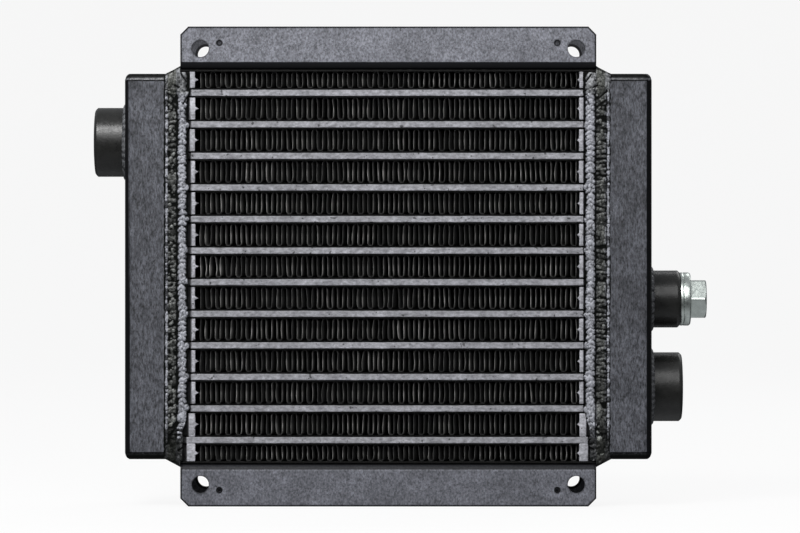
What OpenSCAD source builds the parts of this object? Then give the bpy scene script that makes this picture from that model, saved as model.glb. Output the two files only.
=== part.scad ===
// Hydraulic oil cooler: a brazed bar-and-plate aluminium core between two welded
// side tanks, held in two U-channel brackets and painted satin black.
// Millimetres, +Z up, front face towards -Y. The origin is the centre of the four
// rear mounting holes, on the rear face of the brackets.

/* [Core] */
// Length of the core between its two tank ends, along X
core_w = 208; // [120:2:320]
// Depth of the core in the air direction, along Y
core_d = 63; // [45:1:100]
// Number of oil passages, one above the other
oil_rows = 12; // [4:1:12]
// Height of an oil passage and of its bars
oil_h = 3.2; // [2.4:0.1:6]
// Height of an air passage between two oil passages
air_h = 11; // [6:0.2:14]
// Height of the top and bottom air passages
edge_air_h = 8.2; // [6:0.2:14]
// Thickness of a parting sheet
sheet_t = 0.8; // [0.4:0.1:1.2]
// How far a parting sheet stays behind the bar faces
sheet_inset = 0.4; // [0.1:0.1:1]
// Depth of an oil bar, along Y
oil_bar_d = 6; // [3:0.5:10]
// Width of the flat part of an air bar, along X
air_bar_w = 8; // [4:0.5:12]
// Length of the pointed nose on an air bar
nose_l = 1.8; // [1:0.1:4]
// Height of the nose where it meets the flat part
nose_h = 2.2; // [1:0.1:4]
// Thickness of the top and bottom side plates
side_plate_t = 1; // [0.8:0.1:3]

/* [Fins] */
// Length of one full wave of the air fin
fin_wave = 5.08; // [4:0.02:8]
// Sheet thickness of the air fin
fin_t = 0.2; // [0.15:0.01:0.3]
// How far the air fin stays behind the bar faces
fin_inset = 1.2; // [0.5:0.1:4]
// Length of one full wave of the oil turbulator
turbulator_wave = 4.2; // [3:0.1:5]
// Sheet thickness of the oil turbulator
turbulator_t = 0.25; // [0.15:0.01:0.3]
// Gap between a fin or turbulator and the bars at its ends
fin_gap = 0.2; // [0.1:0.1:1]

/* [Tanks] */
// Width of a tank outside the core, along X
tank_w = 28; // [22:1:50]
// Wall thickness of a tank
tank_t = 4; // [3:0.5:6]
// Outer radius of the two vertical corners of a tank
tank_corner_r = 4; // [2:0.5:8]
// Thickness of the top and bottom tank caps
cap_t = 3; // [2:0.5:5]
// Step between the tank face and the edge of a cap, filled by its weld
cap_step = 2; // [1:0.25:3]
// How far the end of a tank stays below the top of the core stack
tank_drop = 1; // [0.5:0.25:4]

/* [Brackets] */
// Sheet thickness of a bracket channel
bracket_t = 3; // [2:0.5:5]
// Height of a bracket flange above its web
flange_h = 18.5; // [16:0.5:30]
// How far a flange face stands in front of the core face
bracket_proud = 1.5; // [1.5:0.25:4]
// Outer bend radius of a bracket
bend_r = 4; // [3.5:0.5:6]
// Size of the cut corners of a flange
corner_cut = 4; // [1:0.5:8]
// Distance between mounting holes, along X
hole_span_x = 188; // [100:1:300]
// Height of a mounting hole above the web of its bracket
hole_rise = 7.5; // [6:0.5:12]
// Diameter of a mounting hole, clearance for M8
hole_d = 8.5; // [5.5:0.5:9]
// Diameter of a jig hole beside each front mounting hole
jig_hole_d = 1.8; // [1:0.1:3]
// Offset of a jig hole towards the middle of the flange
jig_dx = 9.5; // [8:0.5:20]
// Offset of a jig hole away from the core
jig_dz = 2.8; // [0:0.1:4]

/* [Ports] */
// Outer diameter of the inlet and outlet bosses
port_d = 35; // [30:1:45]
// How far a port boss stands out of its tank
port_out = 16.5; // [12:0.5:30]
// Minor thread diameter of a port, G 3/4
port_bore_d = 24.12; // [11:0.01:26]
// Diameter of the chamfered mouth of a port
port_mouth_d = 26.9; // [26.5:0.1:29]
// Diameter of the spigot that locates a port boss in the tank wall
port_spigot_d = 30; // [28:0.5:30]
// Height of the inlet port on the left tank
inlet_z = 63; // [20:1:70]
// Height of the outlet port on the right tank
outlet_z = -61; // [-70:1:-56]
// Chamfer on the outer rim of every boss
boss_chamfer = 1.2; // [0.4:0.1:2]
// Leg length of the fillet weld round every boss
boss_weld = 2.5; // [1.5:0.25:4]

/* [Screw plug] */
// Height of the plugged sensor port on the right tank
sensor_z = -16.5; // [-18:0.5:40]
// Outer diameter of the sensor boss
sensor_d = 29; // [28:1:36]
// How far the sensor boss stands out of its tank
sensor_out = 15.8; // [14:0.1:30]
// Bore of the sensor boss, M22 x 1.5 at its major diameter
sensor_bore_d = 22; // [20:0.1:22]
// Diameter of the spigot that locates the sensor boss in the tank wall
sensor_spigot_d = 25; // [24:0.5:27]
// Radial clearance between the plug shank and its bore
plug_clearance = 0.05; // [0.02:0.01:0.08]
// Length of the plug shank under its collar
shank_l = 14; // [10:0.5:15]
// Diameter of the plug collar and of its sealing washer
collar_d = 27; // [25:0.5:30]
// Thickness of the plug collar
collar_t = 3.6; // [2:0.1:6]
// Width across the flats of the plug head
hex_af = 19; // [14:1:22]
// Height of the plug head
hex_h = 8; // [5:0.5:12]
// Thickness of the bonded sealing washer
seal_t = 1.6; // [1:0.1:3]
// Inner diameter of its steel ring, where the rubber lip starts
seal_ring_id = 24; // [23:0.1:24.4]
// Radial gap between the rubber lip and the plug shank
lip_gap = 0.1; // [0.05:0.01:0.2]

/* [Core to tank weld] */
// How far the weld reaches from the core end over the bars
weld_reach = 4.6; // [3:0.1:5]
// Width of the first pass, over the joint between core and tank
inner_pass_w = 7; // [5:0.25:8]
// Crown height of the first pass
inner_pass_h = 1.4; // [0.6:0.1:1.4]
// Width of the second pass, which laps onto the tank
outer_pass_w = 6; // [4:0.25:7]
// Crown height of the second pass
outer_pass_h = 1.1; // [0.5:0.1:1.2]
// Overlap of the two passes
pass_overlap = 1; // [0.5:0.25:2]
// Bevel on the edge of the tank wall, filled by the weld
weld_bevel = 2.5; // [1:0.25:3]
// Rise of the fillet between a tank cap and its bracket
end_fillet_h = 4; // [2.5:0.25:4.5]
// Length of that fillet on the tank cap
end_fillet_l = 7.5; // [4:0.5:10]

/* [Hidden] */
$fn = 64;
eps = 0.01;
over = 1;

paint = [0.34, 0.35, 0.38];
dark_paint = [0.13, 0.13, 0.13];
bar_paint = [0.59, 0.59, 0.62];
fin_paint = [0.09, 0.09, 0.09];
raw_aluminium = [0.75, 0.76, 0.78];
bead_paint = [0.45, 0.46, 0.48];
zinc = [0.74, 0.79, 0.77];
rubber = [0.08, 0.08, 0.09];

// Core stack
pitch = oil_h + 2 * sheet_t + air_h;
last_oil_z = (oil_rows - 1) / 2 * pitch;
stack_z = last_oil_z + oil_h / 2 + sheet_t + edge_air_h;
core_x = core_w / 2;
core_rear = -bracket_proud;
core_front = core_rear - core_d;
mid_y = (core_front + core_rear) / 2;
fin_x = core_x - air_bar_w - nose_l - fin_gap;

// Tanks
tank_x = core_x + tank_w;
tank_z = stack_z - tank_drop;
wall_z = tank_z - cap_t;

// Brackets
web_z = stack_z + side_plate_t;
web_top = web_z + bracket_t;
flange_top = web_top + flange_h;
bracket_front = core_front - bracket_proud;
hole_x = hole_span_x / 2;
hole_z = web_top + hole_rise;

// Screw plug, measured along X from the tank wall
shank_r = sensor_bore_d / 2 - plug_clearance;
seal_x = tank_x + sensor_out;
plug_x = seal_x + seal_t;

air_rows = oil_rows + 1;

function two_digits(n) = n < 10 ? str("0", n) : str(n);
function row_names(stem, count) = [for (i = [1 : count]) str(stem, "_", two_digits(i))];
function oil_z(row) = (row - (oil_rows + 1) / 2) * pitch;
function is_edge_row(row) = row == 1 || row == air_rows;
function air_row_h(row) = is_edge_row(row) ? edge_air_h : air_h;
function air_z(row) =
    row == 1 ? -(stack_z - edge_air_h / 2)
    : row == air_rows ? stack_z - edge_air_h / 2
    : oil_z(row - 1) + pitch / 2;

// ---- Shared shapes ----

// A flat outline drawn in X and Z, as deep as from y0 to y1
module along_y(y0, y1) {
    translate([0, y1, 0])
        rotate([90, 0, 0])
            linear_extrude(y1 - y0)
                children();
}

// A flat outline drawn in Y and Z, as long as from x0 to x1
module along_x(x0, x1) {
    translate([x0, 0, 0])
        rotate([90, 0, 90])
            linear_extrude(x1 - x0)
                children();
}

// A solid that is built standing on Z, laid over to point along X
module pointing_right() {
    rotate([0, 90, 0])
        children();
}

// One upturned or downturned half of a thin ring
module half_ring(radius, thickness, up) {
    outer_r = radius + thickness / 2;
    intersection() {
        difference() {
            circle(outer_r);
            circle(radius - thickness / 2);
        }
        translate([-outer_r - eps, up ? 0 : -outer_r - eps])
            square([2 * (outer_r + eps), outer_r + eps]);
    }
}

// A folded strip: upright walls joined by round crests, centred on the origin
module corrugation(length, height, wave, thickness) {
    folds = 2 * floor(length / wave);
    crest_r = wave / 4;
    wall_half = height / 2 - crest_r - thickness / 2;
    start = -folds * wave / 4;
    for (k = [0 : folds])
        translate([start + k * wave / 2 - thickness / 2, -wall_half])
            square([thickness, 2 * wall_half]);
    for (k = [0 : folds - 1])
        translate([start + (k + 0.5) * wave / 2, (k % 2 == 0 ? 1 : -1) * wall_half])
            half_ring(crest_r, thickness, k % 2 == 0);
}

// A rectangle whose lower two corners are round
module round_bottomed(x0, x1, y0, y1, r) {
    translate([x0, y0 + r])
        square([x1 - x0, y1 - y0 - r]);
    translate([x0 + r, y0])
        square([x1 - x0 - 2 * r, r + eps]);
    for (x = [x0 + r, x1 - r])
        translate([x, y0 + r])
            circle(r);
}

// The part of a circle that rises above a straight base, as on a weld crown
module crown(width, height) {
    r = (width * width / 4 + height * height) / (2 * height);
    intersection() {
        translate([0, height - r])
            circle(r);
        translate([-width / 2, 0])
            square([width, height]);
    }
}

// ---- Core ----

module oil_bars(row) {
    color(bar_paint)
        for (y = [core_front, core_rear - oil_bar_d])
            translate([-core_x, y, oil_z(row) - oil_h / 2])
                cube([core_w, oil_bar_d, oil_h]);
}

module turbulator(row) {
    width = core_d - 2 * (oil_bar_d + fin_gap);
    color(raw_aluminium)
        translate([0, mid_y, oil_z(row)])
            along_x(-core_x + over, core_x - over)
                corrugation(width, oil_h, turbulator_wave, turbulator_t);
}

module air_fin(row) {
    color(fin_paint)
        translate([0, 0, air_z(row)])
            along_y(core_front + fin_inset, core_rear - fin_inset)
                corrugation(2 * fin_x, air_row_h(row), fin_wave, fin_t);
}

module parting_sheets() {
    color(dark_paint)
        for (row = [1 : oil_rows], side = [-1, 1])
            translate([
                -core_x,
                core_front + sheet_inset,
                oil_z(row) + side * (oil_h + sheet_t) / 2 - sheet_t / 2
            ])
                cube([core_w, core_d - 2 * sheet_inset, sheet_t]);
}

module air_bar_outline(height) {
    flat_x = core_x - air_bar_w;
    polygon([
        [core_x, -height / 2],
        [core_x, height / 2],
        [flat_x, height / 2],
        [flat_x, nose_h / 2],
        [flat_x - nose_l, 0],
        [flat_x, -nose_h / 2],
        [flat_x, -height / 2]
    ]);
}

module air_bars_right() {
    color(bar_paint)
        for (row = [1 : air_rows])
            translate([0, 0, air_z(row)])
                along_y(core_front, core_rear)
                    air_bar_outline(air_row_h(row));
}

module air_bars_left() {
    mirror([1, 0, 0])
        air_bars_right();
}

module side_plate_top() {
    color(dark_paint)
        translate([-core_x, core_front, stack_z])
            cube([core_w, core_d, side_plate_t]);
}

module side_plate_bottom() {
    mirror([0, 0, 1])
        side_plate_top();
}

// ---- Brackets ----

module bracket_section() {
    difference() {
        round_bottomed(bracket_front, 0, web_z, flange_top, bend_r);
        round_bottomed(
            bracket_front + bracket_t,
            -bracket_t,
            web_top,
            flange_top + over,
            bend_r - bracket_t
        );
    }
}

module corner_cuts() {
    for (side = [-1, 1])
        along_y(bracket_front - over, over)
            polygon([
                [side * (core_x + over), flange_top + over],
                [side * (core_x + over), flange_top - corner_cut - over],
                [side * (core_x - corner_cut - over), flange_top + over]
            ]);
}

module bracket_top() {
    color(paint)
        difference() {
            along_x(-core_x, core_x)
                bracket_section();
            corner_cuts();
            for (side = [-1, 1]) {
                translate([side * hole_x, over, hole_z])
                    rotate([90, 0, 0])
                        cylinder(d = hole_d, h = -bracket_front + 2 * over);
                translate([side * (hole_x - jig_dx), bracket_front + bracket_t + over, hole_z + jig_dz])
                    rotate([90, 0, 0])
                        cylinder(d = jig_hole_d, h = bracket_t + 2 * over);
            }
        }
}

module bracket_bottom() {
    mirror([0, 0, 1])
        bracket_top();
}

// ---- Tanks ----

// The outside of a tank in X and Y, shrunk by inset on its three free sides
module tank_outline(inset) {
    r = tank_corner_r - inset;
    x1 = tank_x - inset;
    y0 = core_front + inset;
    y1 = core_rear - inset;
    translate([core_x, y0])
        square([x1 - core_x - r, y1 - y0]);
    translate([core_x, y0 + r])
        square([x1 - core_x, y1 - y0 - 2 * r]);
    for (y = [y0 + r, y1 - r])
        translate([x1 - r, y])
            circle(r);
}

module tank_section() {
    difference() {
        tank_outline(0);
        translate([core_x - over, core_front + tank_t])
            square([tank_w - tank_t + over, core_d - 2 * tank_t]);
        weld_groove(core_front, 1, over);
        weld_groove(core_rear, -1, over);
    }
}

// The bevelled edge of a tank wall, in X and Y, with extra beyond its two faces
module weld_groove(face_y, inward, extra) {
    polygon([
        [core_x - extra, face_y + inward * (weld_bevel + extra)],
        [core_x + weld_bevel + extra, face_y - inward * extra],
        [core_x - extra, face_y - inward * extra]
    ]);
}

module wall_hole(z, d) {
    translate([tank_x - tank_t - over, mid_y, z])
        pointing_right()
            cylinder(d = d, h = tank_t + 2 * over);
}

module tank_shell() {
    translate([0, 0, -wall_z])
        linear_extrude(2 * wall_z)
            tank_section();
}

module tank_left() {
    color(paint)
        mirror([1, 0, 0])
            difference() {
                tank_shell();
                wall_hole(inlet_z, port_spigot_d);
            }
}

module tank_right() {
    color(paint)
        difference() {
            tank_shell();
            wall_hole(outlet_z, port_spigot_d);
            wall_hole(sensor_z, sensor_spigot_d);
        }
}

module cap() {
    color(paint)
        translate([0, 0, wall_z])
            linear_extrude(cap_t)
                tank_outline(cap_step);
}

module cap_right_top() {
    cap();
}

module cap_right_bottom() {
    mirror([0, 0, 1])
        cap();
}

module cap_left_top() {
    mirror([1, 0, 0])
        cap();
}

module cap_left_bottom() {
    mirror([0, 0, 1])
        mirror([1, 0, 0])
            cap();
}

// ---- Ports ----

// A turned boss on its side of a tank wall, standing on Z with the wall face at 0
module boss(d, out, spigot_d, bore_d, mouth_d) {
    mouth_depth = (mouth_d - bore_d) / 2;
    rotate_extrude()
        polygon([
            [bore_d / 2, -tank_t],
            [spigot_d / 2, -tank_t],
            [spigot_d / 2, 0],
            [d / 2, 0],
            [d / 2, out - boss_chamfer],
            [d / 2 - boss_chamfer, out],
            [mouth_d / 2, out],
            [bore_d / 2, out - mouth_depth]
        ]);
}

module port_boss(z) {
    translate([tank_x, mid_y, z])
        pointing_right()
            boss(port_d, port_out, port_spigot_d, port_bore_d, port_mouth_d);
}

module inlet_boss() {
    color(dark_paint)
        mirror([1, 0, 0])
            port_boss(inlet_z);
}

module outlet_boss() {
    color(dark_paint)
        port_boss(outlet_z);
}

module sensor_boss() {
    mouth_d = sensor_bore_d + boss_chamfer;
    color(dark_paint)
        translate([tank_x, mid_y, sensor_z])
            pointing_right()
                boss(sensor_d, sensor_out, sensor_spigot_d, sensor_bore_d, mouth_d);
}

// ---- Welds ----

module weld_seam() {
    inner_x = core_x - weld_reach + inner_pass_w / 2;
    outer_x = inner_x + (inner_pass_w + outer_pass_w) / 2 - pass_overlap;
    translate([0, 0, -wall_z])
        linear_extrude(2 * wall_z)
            weld_groove(core_front, 1, 0);
    translate([0, core_front, -stack_z])
        linear_extrude(2 * stack_z)
            mirror([0, 1]) {
                translate([inner_x, 0])
                    crown(inner_pass_w, inner_pass_h);
                translate([outer_x, 0])
                    crown(outer_pass_w, outer_pass_h);
            }
}

module end_fillet() {
    along_y(core_front, core_rear)
        polygon([
            [core_x, tank_z],
            [core_x + end_fillet_l, tank_z],
            [core_x, tank_z + end_fillet_h]
        ]);
}

module weld_tank_right() {
    color(bead_paint) {
        weld_seam();
        translate([0, 2 * mid_y, 0])
            mirror([0, 1, 0])
                weld_seam();
        end_fillet();
        mirror([0, 0, 1])
            end_fillet();
    }
}

module weld_tank_left() {
    mirror([1, 0, 0])
        weld_tank_right();
}

// The corner weld between a tank and its cap: a sloping rim round the cap
module cap_weld() {
    difference() {
        intersection() {
            translate([0, 0, wall_z])
                linear_extrude(cap_t)
                    tank_outline(0);
            along_y(core_front, core_rear)
                polygon([
                    [core_x, wall_z],
                    [tank_x, wall_z],
                    [tank_x - cap_step, tank_z],
                    [core_x, tank_z]
                ]);
            along_x(core_x, tank_x)
                polygon([
                    [core_front, wall_z],
                    [core_front + cap_step, tank_z],
                    [core_rear - cap_step, tank_z],
                    [core_rear, wall_z]
                ]);
        }
        translate([0, 0, wall_z - over])
            linear_extrude(cap_t + 2 * over)
                tank_outline(cap_step);
    }
}

module weld_caps() {
    color(bead_paint)
        for (left = [0, 1], low = [0, 1])
            mirror([left, 0, 0])
                mirror([0, 0, low])
                    cap_weld();
}

// A fillet ring round the root of a boss, standing on Z
module boss_fillet(d) {
    rotate_extrude()
        polygon([[d / 2, 0], [d / 2 + boss_weld, 0], [d / 2, boss_weld]]);
}

module weld_bosses() {
    color(bead_paint) {
        translate([-tank_x, mid_y, inlet_z])
            rotate([0, -90, 0])
                boss_fillet(port_d);
        translate([tank_x, mid_y, outlet_z])
            pointing_right()
                boss_fillet(port_d);
        translate([tank_x, mid_y, sensor_z])
            pointing_right()
                boss_fillet(sensor_d);
    }
}

// ---- Screw plug and its sealing washer ----

module plug_body() {
    tip_chamfer = 1;
    rim_chamfer = 0.6;
    rotate_extrude()
        polygon([
            [0, -shank_l],
            [shank_r - tip_chamfer, -shank_l],
            [shank_r, -shank_l + tip_chamfer],
            [shank_r, 0],
            [collar_d / 2, 0],
            [collar_d / 2, collar_t - rim_chamfer],
            [collar_d / 2 - rim_chamfer, collar_t],
            [0, collar_t]
        ]);
}

module plug_head() {
    corner_r = hex_af / 2 / cos(30);
    face_r = hex_af / 2 - 0.4;
    edge_h = (corner_r - face_r) * tan(30);
    intersection() {
        rotate([0, 0, 30])
            cylinder(r = corner_r, h = hex_h, $fn = 6);
        rotate_extrude()
            polygon([
                [0, 0],
                [corner_r + eps, 0],
                [corner_r + eps, hex_h - edge_h],
                [face_r, hex_h],
                [0, hex_h]
            ]);
    }
}

module screw_plug() {
    color(zinc)
        translate([plug_x, mid_y, sensor_z])
            pointing_right() {
                plug_body();
                translate([0, 0, collar_t])
                    plug_head();
            }
}

module washer(outer_d, inner_d) {
    translate([seal_x, mid_y, sensor_z])
        pointing_right()
            difference() {
                cylinder(d = outer_d, h = seal_t);
                translate([0, 0, -over])
                    cylinder(d = inner_d, h = seal_t + 2 * over);
            }
}

module seal_ring() {
    color(zinc)
        washer(collar_d, seal_ring_id);
}

module seal_lip() {
    color(rubber)
        washer(seal_ring_id, 2 * (shank_r + lip_gap));
}

// ---- Assembly ----

bracket_top();
bracket_bottom();
side_plate_top();
side_plate_bottom();
parting_sheets();
air_bars_left();
air_bars_right();
tank_left();
tank_right();
cap_left_top();
cap_left_bottom();
cap_right_top();
cap_right_bottom();
inlet_boss();
outlet_boss();
sensor_boss();
weld_tank_left();
weld_tank_right();
weld_caps();
weld_bosses();
screw_plug();
seal_ring();
seal_lip();
for (row = [1 : oil_rows]) {
    oil_bars(row);
    turbulator(row);
}
for (row = [1 : air_rows])
    air_fin(row);
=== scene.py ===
import math
import random

import bmesh
import bpy
import numpy as np
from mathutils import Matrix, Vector, noise


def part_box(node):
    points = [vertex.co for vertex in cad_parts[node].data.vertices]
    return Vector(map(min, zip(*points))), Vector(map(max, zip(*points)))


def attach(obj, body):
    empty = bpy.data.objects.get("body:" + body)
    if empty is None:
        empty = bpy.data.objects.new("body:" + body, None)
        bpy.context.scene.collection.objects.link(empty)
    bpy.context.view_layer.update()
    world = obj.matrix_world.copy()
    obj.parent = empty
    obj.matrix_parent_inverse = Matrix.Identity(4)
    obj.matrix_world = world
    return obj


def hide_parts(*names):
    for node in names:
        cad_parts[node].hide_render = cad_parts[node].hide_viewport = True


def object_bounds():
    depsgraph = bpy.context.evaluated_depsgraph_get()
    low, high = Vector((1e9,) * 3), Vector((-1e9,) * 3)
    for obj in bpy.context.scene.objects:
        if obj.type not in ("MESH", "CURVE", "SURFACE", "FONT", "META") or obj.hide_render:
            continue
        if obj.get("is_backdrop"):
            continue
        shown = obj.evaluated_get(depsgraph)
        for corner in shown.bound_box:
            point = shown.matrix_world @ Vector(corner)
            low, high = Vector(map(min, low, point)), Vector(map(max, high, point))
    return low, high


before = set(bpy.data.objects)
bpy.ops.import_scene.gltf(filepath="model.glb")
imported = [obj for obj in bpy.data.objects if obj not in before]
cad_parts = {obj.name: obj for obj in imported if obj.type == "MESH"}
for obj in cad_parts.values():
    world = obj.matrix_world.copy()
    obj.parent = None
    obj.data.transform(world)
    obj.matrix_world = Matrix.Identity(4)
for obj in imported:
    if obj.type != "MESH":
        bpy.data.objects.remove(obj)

# The looks of the hydraulic oil cooler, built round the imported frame.
# Metres, +Z up, the front face towards -Y. Shapes are worked out in millimetres
# and turned into metres when a mesh is made.

MM = 0.001
TURN = 2 * math.pi
cad_low, cad_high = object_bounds()


def box_mm(node):
    """The lowest and highest corner of a CAD node, in millimetres."""
    low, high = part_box(node)
    return low / MM, high / MM


def middle_z(node):
    low, high = box_mm(node)
    return (low.z + high.z) / 2


# Sizes that the pieces share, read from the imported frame
tank_low, tank_high = box_mm("tank_right")
cap_high = box_mm("cap_right_top")[1]
bar_low, bar_high = box_mm("oil_bars_01")
bracket_low, bracket_high = box_mm("bracket_top")
FRONT_Y = tank_low.y
REAR_Y = tank_high.y
MID_Y = (FRONT_Y + REAR_Y) / 2
CORE_X = tank_low.x
WALL_X = tank_high.x
WALL_Z = tank_high.z
TANK_Z = cap_high.z
CAP_STEP = tank_high.x - cap_high.x
BAR_H = bar_high.z - bar_low.z

# The part's own sizes that no box shows, and how many rows it has
SHEET_T = 0.8
TANK_WALL = 4.0
OIL_ROWS = 12
AIR_ROWS = 13
HOLE_X = 94.0
HOLE_Z = 109.0
HOLE_R = 4.25
JIG_X = 84.5
JIG_Z = 111.8

# How the two ends of the core differ: where the air bar's flat begins and where the bars
# slope down into the valley beside the weld, then the weld's own lines, along X
ENDS = {
    "left": {
        "flat": 96.65, "nose": 94.85, "valley": 98.5, "bead": 103.2, "bead_r": 2.3,
        "inner": 100.5, "gap": 105.95, "ridge": 106.4, "ridge_end": 110.0, "toe": 110.9,
        "edge": 112.45,
    },
    "right": {
        "flat": 95.55, "nose": 94.35, "valley": 97.45, "bead": 101.1, "bead_r": 2.6,
        "inner": 98.4, "gap": 103.75, "ridge": 104.4, "ridge_end": 108.1, "toe": 110.1,
        "edge": 111.3,
    },
}
VALLEY_RUN = 0.9
VALLEY_DEPTH = 2.2


def names_of(stem, count):
    return [f"{stem}_{i:02d}" for i in range(1, count + 1)]


def smooth_step(t):
    t = np.clip(t, 0, 1)
    return t * t * (3 - 2 * t)


def waver(x, y, z):
    """Smooth noise from -1 to 1 at a place."""
    return noise.noise(Vector((x, y, z)))


def wobble(values, scale, seed):
    """Smooth noise from -1 to 1 along a line, one number for each value."""
    return np.array([waver(v / scale, seed * 7.3, seed * 1.7) for v in values])


# ---- Materials ----


class Graph:
    """Adds nodes to a shader tree. A value is a constant or another node's result."""

    def __init__(self, tree):
        self.tree = tree

    def feed(self, socket, value):
        if isinstance(value, bpy.types.NodeSocket):
            self.tree.links.new(value, socket)
        else:
            socket.default_value = value

    def add(self, kind, inputs, result, **settings):
        """Adds a node, sets or links its inputs, and gives back one of its results."""
        node = self.tree.nodes.new("ShaderNode" + kind)
        for name, value in settings.items():
            setattr(node, name, value)
        for name, value in inputs.items():
            self.feed(node.inputs[name], value)
        return node.outputs[result]

    def position(self, stretch=(1, 1, 1)):
        """Where a point is on the object, in metres, stretched along each axis."""
        coords = self.add("TexCoord", {}, "Object")
        return self.add("Mapping", {"Vector": coords, "Scale": stretch}, "Vector")

    def noise(self, where, size_mm, detail=2.0, roughness=0.55):
        """Cloudy noise from 0 to 1 with blobs of about that size."""
        inputs = {"Vector": where, "Scale": 1 / (size_mm * MM), "Detail": detail}
        return self.add("TexNoise", inputs | {"Roughness": roughness}, "Fac")

    def spread(self, value, low, high, to_low, to_high):
        """Maps low..high to to_low..to_high, and holds it there outside."""
        inputs = {"Value": value, "From Min": low, "From Max": high}
        return self.add("MapRange", inputs | {"To Min": to_low, "To Max": to_high}, "Result")

    def multiply(self, first, *others):
        for other in others:
            first = self.add("Math", {0: first, 1: other}, "Value", operation="MULTIPLY")
        return first

    def scale(self, colour, factor):
        """The colour made lighter or darker by a number that varies over the surface."""
        return self.add("VectorMath", {0: colour, "Scale": factor}, "Vector", operation="SCALE")

    def blend(self, factor, first, second):
        """From the first colour at 0 to the second at 1."""
        mixer = self.tree.nodes.new("ShaderNodeMix")
        mixer.data_type = "RGBA"
        self.feed(mixer.inputs["Factor"], factor)
        for name, colour in (("A", first), ("B", second)):
            slot = next(s for s in mixer.inputs if s.name == name and s.type == "RGBA")
            self.feed(slot, (*colour, 1) if isinstance(colour, tuple) else colour)
        return next(s for s in mixer.outputs if s.type == "RGBA")

    def bump(self, height, depth_mm, below=None):
        inputs = {"Strength": 1, "Distance": depth_mm * MM, "Height": height}
        if below is not None:
            inputs["Normal"] = below
        return self.add("Bump", inputs, "Normal")


class Paint(Graph):
    """A material in the making."""

    def __init__(self, name):
        self.material = bpy.data.materials.new(name)
        self.material.use_nodes = True
        super().__init__(self.material.node_tree)
        self.where = self.position()

    def mottle(self, size_mm, low, high, detail=2, roughness=0.55, where=None, clip=(0.3, 0.7)):
        """Noise spread out from low to high. clip is the part of the noise that is used."""
        where = self.where if where is None else where
        return self.spread(self.noise(where, size_mm, detail, roughness), *clip, low, high)

    def attribute(self, name):
        """A number stored on the mesh, point by point."""
        return self.add("Attribute", {}, "Fac", attribute_name=name)

    def shade(self, sockets):
        """Feeds the shader's sockets by name, and gives back the material."""
        shader = self.tree.nodes["Principled BSDF"]
        for name, value in sockets.items():
            self.feed(shader.inputs[name], value)
        return self.material


def satin_paint(name, colour, gloss=0.42, grain=0.25, cloud=0.12, peel_mm=0.035, stretch=1.0):
    """Sprayed satin paint: grainy and slightly cloudy, with orange peel. Flats keep a greyer black,
    and the dark value on the mesh paints shade: bends, rims and other shaded places go to near
    black, with less specular. Edges have small bright spots, partly rubs in the paint and partly
    painted highlights. The grain can be stretched along Z."""
    paint = Paint(name)
    along = paint.position((1, 1, 1 / stretch))
    grainy = paint.mottle(0.8, 1 - grain, 1 + grain, 2.5, 0.7, along, (0.32, 0.68))
    blotchy = paint.mottle(2.4, 1 - grain / 5, 1 + grain / 5, 2, 0.55, along, (0.34, 0.66))
    cloudy = paint.mottle(14, 1 - cloud, 1 + cloud, 3)
    specks = paint.mottle(4.5, 0.35, 1, 2, 0.7, clip=(0.25, 0.29))
    painted = paint.scale(colour, paint.multiply(grainy, cloudy, blotchy, specks))
    # Painted shade: where the mesh's dark value is high the colour goes to a near-black copy of
    # itself, and the specular is lowered there too
    dark = paint.attribute("dark")
    deep = tuple(0.06 * c for c in colour)
    shaded = paint.blend(paint.spread(dark, 0.2, 0.6, 0, 1), painted, deep)
    # Bright spots on the marked edges: partly rubbed paint, partly painted highlights
    bright = tuple(min(1, c * 2.2 + 0.05) for c in colour)
    broken = paint.mottle(2.6, 0, 0.8, 3, clip=(0.56, 0.66))
    edge = paint.multiply(paint.attribute("edge"), broken)
    lumps = paint.bump(paint.noise(along, 2.8), peel_mm * 1.1)
    return paint.shade({
        "Base Color": paint.blend(edge, shaded, bright),
        "Roughness": paint.mottle(3.5, gloss - 0.06, gloss + 0.08, 3),
        "Specular IOR Level": paint.spread(dark, 0.2, 0.6, 0.5, 0.12),
        "Normal": paint.bump(paint.noise(along, 0.9, 1.5), peel_mm, lumps),
    })


def bar_paint():
    """Thin black paint rubbed to a light grey on the bar faces, with dark pits. Where the tone on
    the mesh is low the colour is near black: painted shade.
    """
    paint = Paint("rubbed_and_shaded_bar_paint")
    streaks = paint.noise(paint.position((0.6, 1, 1)), 1.1, 3, 0.6)
    streaky = paint.spread(streaks, 0.3, 0.7, 0.55, 1.45)
    pits = paint.mottle(2.1, 0.2, 1, 1, 0.5, clip=(0.25, 0.31))
    tone = paint.multiply(streaky, paint.mottle(11, 0.85, 1.15), pits)
    # The tone is partly the rubbed face and partly painted light and shade: lit front faces light,
    # faces turned away and the weld valley near black
    face = paint.attribute("tone")
    unrubbed_and_shaded = paint.scale((0.006, 0.006, 0.0065), tone)
    rubbed = paint.scale((0.44, 0.44, 0.475), tone)
    return paint.shade({
        "Base Color": paint.blend(face, unrubbed_and_shaded, rubbed),
        "Roughness": paint.spread(streaks, 0.3, 0.7, 0.4, 0.55),
        "Specular IOR Level": paint.spread(face, 0.05, 0.5, 0.08, 0.5),
        "Normal": paint.bump(streaks, 0.05),
    })


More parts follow.
